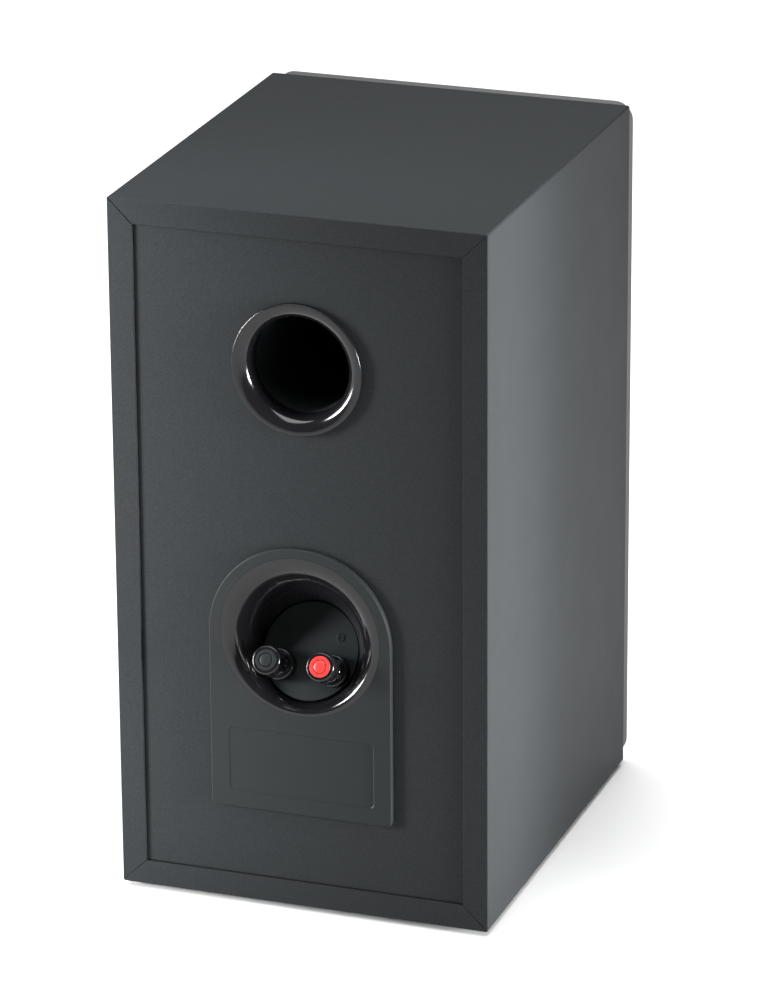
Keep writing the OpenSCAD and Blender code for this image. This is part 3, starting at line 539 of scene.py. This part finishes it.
def make_camera():
    azimuth, elevation, roll = (math.radians(a) for a in (199.62, 20.55, -0.376))
    level = math.cos(elevation)
    back = Vector((math.sin(azimuth) * level, -math.cos(azimuth) * level, math.sin(elevation)))
    right = (-back).cross(Z).normalized()
    up = right.cross(-back)
    side = math.cos(roll) * right + math.sin(roll) * up
    top = -math.sin(roll) * right + math.cos(roll) * up
    low, high = cad_bounds
    target = (Vector(low) + Vector(high)) / 2 + Vector((0, 4.2, 1.5)) * MM
    place = Matrix((side, top, back)).transposed().to_4x4()
    place.translation = target + back * 3 + (side * 6.927 - top * 2.121) * MM
    data = bpy.data.cameras.new("camera")
    data.sensor_fit = "VERTICAL"
    data.sensor_height = 36
    data.lens = 195.55
    data.clip_end = 100
    camera = bpy.data.objects.new("camera", data)
    camera.matrix_world = place
    bpy.context.scene.collection.objects.link(camera)
    bpy.context.scene.camera = camera


def area_light(name, place, target, size, power, spread):
    """A softbox of size (width, height) that the camera doesn't see, its beam spread degrees wide."""
    data = bpy.data.lights.new(name, "AREA")
    data.shape = "RECTANGLE"
    data.size, data.size_y = size
    data.energy = power
    data.spread = math.radians(spread)
    light = bpy.data.objects.new(name, data)
    light.location = place
    light.rotation_euler = (Vector(target) - Vector(place)).to_track_quat("-Z", "Y").to_euler()
    light.visible_camera = False
    bpy.context.scene.collection.objects.link(light)


def make_stage():
    """A plain white floor and soft lights."""
    floor_size = 14
    mesh = bpy.data.meshes.new("floor")
    half = floor_size / 2
    corners = [(-half, -half, 0), (half, -half, 0), (half, half, 0), (-half, half, 0)]
    mesh.from_pydata(corners, [], [(0, 1, 2, 3)])
    floor = bpy.data.objects.new("floor", mesh)
    bpy.context.scene.collection.objects.link(floor)
    look = Look("floor", (0.9, 0.9, 0.9), 0.9, Specular_IOR_Level=0.1)
    mesh.materials.append(look.material)
    world = bpy.data.worlds.new("studio")
    world.use_nodes = True
    world.node_tree.nodes["Background"].inputs["Color"].default_value = (1, 1, 1, 1)
    world.node_tree.nodes["Background"].inputs["Strength"].default_value = 0.12
    bpy.context.scene.world = world
    bpy.context.scene.view_settings.view_transform = "Standard"
    area_light("overhead", (0.3, -0.3, 2.4), (0, 0, 0), (3, 3), 140, 180)
    area_light("rear_left", (0.36, 0.26, 0.26), (0.116, 0.115, 0.22), (0.1, 0.5), 1.25, 45)
    area_light("side_near", (-0.5, 0.14, 0.25), (-0.106, 0.11, 0.23), (0.16, 0.5), 1.0, 25)
    area_light("side_far", (-0.5, 0.02, 0.25), (-0.106, 0.02, 0.23), (0.3, 0.5), 0.94, 40)


# Cabinet -------------------------------------------------------------------------


def wall_panels(looks):
    """The four walls, mitred at the corners, whose round outer edges meet flush."""
    left, front, bottom = (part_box("left_panel")[0].x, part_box("left_panel")[0].y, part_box("left_panel")[0].z)
    right, rear, top = (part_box("right_panel")[1].x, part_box("right_panel")[1].y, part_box("right_panel")[1].z)
    wall = (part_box("top_panel")[1].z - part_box("top_panel")[0].z) / MM
    width, height, depth = (right - left) / MM, (top - bottom) / MM, (rear - front) / MM
    place = placed(Vector(((left + right) / 2, front, (bottom + top) / 2)), -X, Y)
    sides = [("left_panel", height, width, 0), ("top_panel", width, height, 90),
             ("right_panel", height, width, 180), ("bottom_panel", width, height, 270)]
    for name, length, across, angle in sides:
        half, out = length / 2, across / 2
        section = [(out - wall, wall - half)] + arc(out - CORNER_R, CORNER_R - half, CORNER_R, -45, 0, 3)
        section += arc(out - CORNER_R, half - CORNER_R, CORNER_R, 0, 45, 3) + [(out - wall, half - wall)]
        solid = Solid()
        narrow = inset(section, END_CHAMFER)
        made = solid.tube([at_height(narrow, 0), at_height(section, END_CHAMFER),
                           at_height(section, depth - END_CHAMFER), at_height(narrow, depth)])
        solid.cap(made[0])
        solid.cap(made[-1])
        turn = Matrix.Rotation(math.radians(angle), 4, "Z")
        thing = piece(name + ".shell", solid, looks["vinyl"], place @ turn)
        stand_for(thing, "cabinet", "vinyl", name)


def feet(looks):
    low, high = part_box("feet")
    foot_r = 9
    thick = (high.z - low.z) / MM
    solid = Solid()
    for x in (low.x / MM + foot_r, high.x / MM - foot_r):
        for y in (low.y / MM + foot_r, high.y / MM - foot_r):
            profile = rounded([(0, 0.4), (foot_r - 3, 0.4), (foot_r - 2.2, 0), (foot_r, 0, 0.8),
                               (foot_r, thick, 0.2), (0, thick)])
            solid.add(turned(profile, 64), Matrix.Translation((x, y, 0)))
    thing = piece("foot_pads", solid, looks["rubber"], Matrix.Translation(Z * low.z) @ Matrix.Scale(MM, 4))
    stand_for(thing, "cabinet", "rubber", "feet")


# Port ----------------------------------------------------------------------------


def port(looks):
    low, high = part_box("port_flange")
    flange_r = (high.x - low.x) / 2 / MM
    panel_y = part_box("rear_panel")[1].y
    rim = (high.y - panel_y) / MM
    place = placed(Vector((middle("port_flange").x, panel_y, middle("port_flange").z)), -X, Y)
    flare = arc(BORE_R + FLARE_R, rim - FLARE_R, FLARE_R, 90, 180, 20)
    bead = [(SPIGOT_R, 0), (flange_r, 0), (flange_r, rim - FLANGE_LIP)]
    bead += arc(flange_r - FLANGE_LIP, rim - FLANGE_LIP, FLANGE_LIP, 22, 90, 4)
    sleeve = BORE_R + TUBE_WALL + 0.05
    spigot = [(BORE_R, -TUBE_START), (sleeve, -TUBE_START), (sleeve, -SPIGOT_END), (SPIGOT_R, -SPIGOT_END)]
    profile = bead + flare + spigot
    thing = piece("port_flare", turned(profile, 160), looks["gloss_plastic"], place)
    stand_for(thing, "cabinet", "gloss_plastic", "port_flange")
    end = (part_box("port_tube")[0].y - panel_y) / MM
    curl_x, curl_y = BORE_R + TUBE_FLARE, end + TUBE_FLARE
    profile = [(BORE_R + TUBE_WALL, -TUBE_START), (BORE_R, -TUBE_START)]
    profile += arc(curl_x, curl_y, TUBE_FLARE, 180, 270, 14)
    profile += arc(curl_x, curl_y, TUBE_FLARE - TUBE_WALL, 270, 180, 14)
    thing = piece("port_pipe", turned(profile, 128), looks["satin_plastic"], place)
    stand_for(thing, "cabinet", "satin_plastic", "port_tube")


# Terminals -----------------------------------------------------------------------


def terminal_plate(looks):
    low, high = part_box("terminal_plate")
    cup = middle("terminal_cup")
    arch_y = (high.z - low.z) / MM - PLATE_R
    place = placed(Vector((middle("terminal_plate").x, high.y - PLATE_T * MM, low.z)), -X, Y)
    corner = PLATE_R - PLATE_CORNER
    outline = (arc(0, arch_y, PLATE_R, 0, 180, 96) + arc(-corner, PLATE_CORNER, PLATE_CORNER, 180, 270, 8)
               + arc(corner, PLATE_CORNER, PLATE_CORNER, 270, 360, 8))
    cup_hole = circle(CUP_R + CUP_RIM + 0.1, 144, 0, (cup.z - low.z) / MM)
    label = round_rect(LABEL_W, LABEL_H, 3, 0, LABEL_RISE + LABEL_H / 2)
    solid = plate(outline, PLATE_T, [cup_hole], PLATE_EDGE, 1, [(label, LABEL_DEPTH, LABEL_SLOPE)])
    thing = piece("terminal_face", solid, looks["satin_plastic"], place)
    stand_for(thing, "cabinet", "satin_plastic", "terminal_plate")


def cup_skin(rim_place, disc, rim_r, rim_z, foot_r, foot_z, rings, sides):
    """Rings of a skin that leaves the rim along the plate and meets the disc square to its face."""
    skin = []
    spokes = [2 * math.pi * i / sides for i in range(sides)]
    for k in range(rings + 1):
        t = k / rings
        ring = []
        for a in spokes:
            out = Vector((math.cos(a), math.sin(a), 0))
            rim = rim_place @ (out * rim_r + Z * rim_z)
            foot = disc @ (out * foot_r + Z * foot_z)
            reach = (rim - foot).length / MM
            lip = rim_place @ (out * (rim_r - CUP_FLARE * reach) + Z * rim_z)
            heel = disc @ (out * foot_r + Z * (foot_z + CUP_THROAT * reach))
            ring.append((1 - t) ** 3 * rim + 3 * t * (1 - t) ** 2 * lip
                        + 3 * t * t * (1 - t) * heel + t ** 3 * foot)
        skin.append(ring)
    return skin


def terminal_cup(looks):
    centre = middle("terminal_cup")
    rim = placed(Vector((centre.x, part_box("terminal_cup")[1].y, centre.z)), -X, Y)
    disc = disc_place()
    sides = 144
    foot = DISC_R + DISC_GAP
    inner = cup_skin(rim, disc, CUP_R, 0, foot, -DISC_T, 40, sides)
    outer = cup_skin(rim, disc, CUP_R + CUP_RIM, -CUP_WALL, foot + CUP_WALL, -DISC_T - CUP_WALL, 24, sides)
    seat = [[disc @ Vector((x, y, z)) for x, y in circle(DISC_R - CUP_SEAT, sides)]
            for z in (-DISC_T, -DISC_T - CUP_WALL)]
    lip = [rim @ Vector((x, y, 0)) for x, y in circle(CUP_R + CUP_RIM, sides)]
    solid = Solid()
    solid.tube(inner + seat + outer[::-1] + [lip], closed=True)
    thing = piece("terminal_bowl", solid, looks["gloss_plastic"])
    stand_for(thing, "cabinet", "gloss_plastic", "terminal_cup")


def cross(x, y, arms):
    """Outline of a bar, or of a cross with four arms, about (x, y)."""
    long, wide = MARK_BAR / 2, MARK_LINE / 2
    bar = [(long, -wide), (long, wide), (-long, wide), (-long, -wide)]
    if arms == 4:
        bar = [(long, -wide), (long, wide), (wide, wide), (wide, long), (-wide, long), (-wide, wide),
               (-long, wide), (-long, -wide), (-wide, -wide), (-wide, -long), (wide, -long), (wide, -wide)]
    return [(x + dx, y + dy) for dx, dy in bar]


def terminal_disc(looks):
    disc = disc_place()
    post_x = (post_place("positive").translation - disc.translation).dot(-X) / MM
    holes = [circle(BUSH_R + 0.05, 64, x, -POST_DROP) for x in (-post_x, post_x)]
    solid = plate(circle(DISC_R, 144), DISC_T, holes, 0.5, 3, low=-DISC_T)
    for x, arms in ((-post_x, 2), (post_x, 4)):
        plate(circle(MARK_R, 48, x, MARK_RISE), MARK_H + 0.1, (), 0.12, 2,
              [(cross(x, MARK_RISE, arms), MARK_H, 0)], -0.1, solid)
    thing = piece("terminal_face_disc", solid, looks["satin_plastic"], disc)
    stand_for(thing, "cabinet", "satin_plastic", "terminal_disc")


def threaded_rod(r, low, high):
    """A rod with a helical thread, as a tube whose radius follows the thread."""
    sides = 40
    steps = int((high - low) / THREAD_PITCH * 8)
    rings = []
    for k in range(steps + 1):
        w = low + (high - low) * k / steps
        ring = []
        for i in range(sides):
            phase = (w / THREAD_PITCH - i / sides) % 1
            groove = THREAD_DEPTH * min(1, 1.25 * abs(2 * phase - 1))
            radius = r - groove
            if k in (0, steps):
                radius = r - THREAD_DEPTH
            a = 2 * math.pi * i / sides
            ring.append((radius * math.cos(a), radius * math.sin(a), w))
        rings.append(ring)
    return rings


def posts(looks):
    """Both posts: a threaded rod with a socket down its top and a hole across it."""
    wire_hole_r = 2
    wire_hole_w = COLLAR_H + 0.2 + wire_hole_r
    both = Solid()
    for side in ("negative", "positive"):
        rod = Solid()
        rings = threaded_rod(POST_R, POST_LOW, POST_HIGH)
        sides = len(rings[0])
        turns = [2 * math.pi * i / sides for i in range(sides)]
        socket = [[(SOCKET_R * math.cos(a), SOCKET_R * math.sin(a), w) for a in turns]
                  for w in (POST_HIGH, SOCKET_FLOOR)]
        made = rod.tube(rings + socket)
        rod.cap(made[0])
        rod.cap(made[-1])
        both.add(rod, post_place(side))
    thing = piece("post_rods", both, looks["plated_metal"])
    drills = Solid()
    for side in ("negative", "positive"):
        drill = turned([(0, -7), (wire_hole_r, -7), (wire_hole_r, 7), (0, 7)], 48)
        turn = Matrix.Rotation(math.pi / 2, 4, "X")
        drills.add(drill, post_place(side) @ Matrix.Translation(Z * wire_hole_w) @ turn)
    cutter = piece("cutter", drills, looks["plated_metal"])
    cut(thing, cutter)
    stand_for(thing, "cabinet", "plated_metal", "binding_posts")


def cut(thing, cutter):
    """The cutter is taken away from the thing, and deleted."""
    thing.modifiers.clear()
    cutter.modifiers.clear()
    boolean = thing.modifiers.new("cut", "BOOLEAN")
    boolean.object = cutter
    boolean.operation = "DIFFERENCE"
    boolean.solver = "MANIFOLD"
    depsgraph = bpy.context.evaluated_depsgraph_get()
    mesh = bpy.data.meshes.new_from_object(thing.evaluated_get(depsgraph))
    thing.modifiers.remove(boolean)
    thing.data = mesh
    keep_flats(thing)
    bpy.data.objects.remove(cutter)


def collars(looks):
    both = Solid()
    for side in ("negative", "positive"):
        profile = rounded([(POST_R + 0.05, -DISC_T), (BUSH_R, -DISC_T), (BUSH_R, 0), (COLLAR_R, 0, 0.2),
                           (COLLAR_R, COLLAR_H, 1.0), (POST_R + 0.05, COLLAR_H, 0.3)])
        both.add(turned(profile, 96), post_place(side))
    thing = piece("collars", both, looks["gloss_plastic"])
    stand_for(thing, "cabinet", "gloss_plastic", "post_collars")


def skirt_radius(angle):
    """Radius of the knob's fluted skirt: a round core with nubs standing out of it."""
    pitch = 2 * math.pi / NUBS
    off = (angle - math.radians(NUB_FIRST) + pitch / 2) % pitch - pitch / 2
    reach = NUB_R ** 2 - (NUB_CIRCLE * math.sin(off)) ** 2
    nub = NUB_CIRCLE * math.cos(off) + math.sqrt(reach) if reach > 0 else 0
    return max(SKIRT_R, nub)


def knob(side, looks):
    body = side + "_knob"
    place = post_place(side)
    bore = POST_R + 0.05
    neck = PLUG_STEM_R + 0.3
    groove = KNOB_FACE - RING_DEPTH
    profile = rounded([
        (bore, KNOB_LOW), (SKIRT_R - 1, KNOB_LOW), (SKIRT_R - 1, KNOB_CAP), (KNOB_R, KNOB_CAP, 0.4),
        (KNOB_R, KNOB_FACE, KNOB_EDGE), (RING_OUT + 0.05, KNOB_FACE, 0.12), (RING_OUT + 0.05, groove),
        (RING_IN - 0.05, groove), (RING_IN - 0.05, KNOB_FACE), (PLUG_R + 0.1, KNOB_FACE),
        (PLUG_R + 0.1, PLUG_FLOOR), (neck, PLUG_FLOOR), (neck, PLUG_FLOOR - 0.5),
        (bore, PLUG_FLOOR - 0.5)], 8)
    solid = turned(profile, 128)
    outline = [(skirt_radius(2 * math.pi * i / 240) * math.cos(2 * math.pi * i / 240),
                skirt_radius(2 * math.pi * i / 240) * math.sin(2 * math.pi * i / 240)) for i in range(240)]
    core = circle(SKIRT_R - 1.1, 240)
    rings = [at_height(core, KNOB_LOW), at_height([(x * 0.94, y * 0.94) for x, y in outline], KNOB_LOW),
             at_height(outline, KNOB_LOW + 0.5), at_height(outline, KNOB_CAP + 0.2),
             at_height(core, KNOB_CAP + 0.2)]
    solid.tube(rings, closed=True)
    thing = piece(side + "_cap", solid, looks["gloss_plastic"], place, sharp=40)
    stand_for(thing, body, "gloss_plastic", side + "_knob")

    slot = "red_plastic" if side == "positive" else "satin_plastic"
    profile = rounded([(RING_IN, groove), (RING_OUT, groove), (RING_OUT, KNOB_FACE + RING_PROUD, 0.18),
                       (RING_IN, KNOB_FACE + RING_PROUD, 0.18)], 4)
    thing = piece(side + "_band", turned(profile, 96), looks[slot], place)
    stand_for(thing, body, slot, side + "_ring")

    seat = PLUG_FLOOR + 0.1
    brim = KNOB_FACE - 0.2
    dome = [(PLUG_R * math.cos(math.radians(a)), brim + PLUG_DOME * math.sin(math.radians(a)))
            for a in range(0, 90, 10)]
    profile = [(0, PLUG_STEM), (PLUG_STEM_R - 0.5, PLUG_STEM), (PLUG_STEM_R, PLUG_STEM + 0.5),
               (PLUG_STEM_R, seat), (PLUG_R - 0.2, seat), (PLUG_R, seat + 0.2)]
    profile += dome + [(0, brim + PLUG_DOME)]
    thing = piece(side + "_stopper", turned(profile, 96), looks[slot], place, sharp=40)
    stand_for(thing, side + "_dust_plug", slot, side + "_plug")


def washer(side, looks):
    low = KNOB_LOW - WASHER_T
    profile = rounded([(POST_R + 0.1, low, 0.2), (WASHER_R, low, 0.3), (WASHER_R, KNOB_LOW, 0.3),
                       (POST_R + 0.1, KNOB_LOW, 0.2)], 4)
    thing = piece(side + "_clamp_ring", turned(profile, 96), looks["plated_metal"], post_place(side))
    stand_for(thing, side + "_clamp", "plated_metal", side + "_washer")


# Soft goods ----------------------------------------------------------------------


def grille_cloth(looks):
    """The cloth lies on the frame's front, goes round its edges and is glued to its back."""
    low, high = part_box("grille_frame")
    width, height, thick = (high.x - low.x) / MM, (high.z - low.z) / MM, (high.y - low.y) / MM
    front = -CLOTH_T
    back = thick + CLOTH_T
    bend = CLOTH_T + FRAME_EDGE
    outer = ([(-FRAME_EDGE, front)] + arc(-FRAME_EDGE, FRAME_EDGE, bend, -80, 0, 5)
             + arc(-FRAME_EDGE, thick - FRAME_EDGE, bend, 0, 90, 6) + [(-CLOTH_TURN, back)])
    inner = ([(-CLOTH_TURN, thick)] + arc(-FRAME_EDGE, thick - FRAME_EDGE, FRAME_EDGE, 90, 0, 6)
             + arc(-FRAME_EDGE, FRAME_EDGE, FRAME_EDGE, 0, -80, 5) + [(-FRAME_EDGE, 0)])
    rings = [at_height(round_rect(width + 2 * out, height + 2 * out, max(GRILLE_CORNER + out, 0.4)), depth)
             for out, depth in outer + inner]
    solid = Solid()
    made = solid.tube(rings)
    solid.cap(made[0])
    solid.cap(made[-1])
    place = placed(Vector((middle("grille_frame").x, low.y, middle("grille_frame").z)), -X, Y)
    thing = piece("grille_cover", solid, looks["cloth"], place)
    stand_for(thing, "grille", "cloth", "grille_cloth")


def foam_pad(length, width):
    """A pad of egg-crate foam, length by width, lying on its flat back, with round edges."""
    across = [round(size / FOAM_STEP) for size in (length, width)]
    solid = Solid()
    rows = []
    for i in range(across[0] + 1):
        row = []
        for j in range(across[1] + 1):
            x, y = length * i / across[0], width * j / across[1]
            edge = min(x, length - x, y, width - y)
            crown = 1 - max(0, 1 - edge / FOAM_ROUND) ** 2
            wave = math.sin(2 * math.pi * x / FOAM_PITCH) * math.sin(2 * math.pi * y / FOAM_PITCH)
            row.append((x - length / 2, y - width / 2, crown * (FOAM_MIDDLE + FOAM_WAVE * wave)))
        rows.append(solid.ring(row))
    for low, high in zip(rows, rows[1:]):
        for j in range(across[1]):
            solid.faces.append((low[j], low[j + 1], high[j + 1], high[j]))
    rim = [row[0] for row in rows] + rows[-1][1:] + [row[-1] for row in rows[-2::-1]] + rows[0][-2:0:-1]
    solid.faces.append(tuple(reversed(rim)))
    return solid


def damping_pads(looks):
    """A pad on each side wall above and below the brace, and one under the top wall."""
    low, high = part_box("damping_pads")
    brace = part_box("window_brace")
    depth = (high.y - low.y) / MM
    y = (low.y + high.y) / 2
    bottom = (low.z, brace[0].z - PAD_BRACE_GAP * MM)
    top = (brace[1].z + PAD_BRACE_GAP * MM, high.z - PAD_TOP_GAP * MM)
    spans = [("low", bottom), ("high", top)]
    for side, x, out in (("left", low.x, X), ("right", high.x, -X)):
        for level, (start, end) in spans:
            place = placed(Vector((x, y, (start + end) / 2)), Y, out)
            solid = foam_pad(depth, (end - start) / MM)
            pad = piece(f"foam_{side}_{level}", solid, looks["foam"], place, sharp=70)
            stand_for(pad, "cabinet", "foam", "damping_pads")
    width = (high.x - low.x) / MM - 2 * PAD_CORNER
    place = placed(Vector(((low.x + high.x) / 2, y, high.z)), X, -Z)
    pad = piece("foam_top", foam_pad(width, depth), looks["foam"], place, sharp=70)
    stand_for(pad, "cabinet", "foam", "damping_pads")


# Everything ----------------------------------------------------------------------

make_camera()
looks = materials()
finish_frame(looks)
make_stage()
wall_panels(looks)
feet(looks)
port(looks)
terminal_plate(looks)
terminal_cup(looks)
terminal_disc(looks)
posts(looks)
collars(looks)
for side in ("negative", "positive"):
    knob(side, looks)
    washer(side, looks)
grille_cloth(looks)
damping_pads(looks)
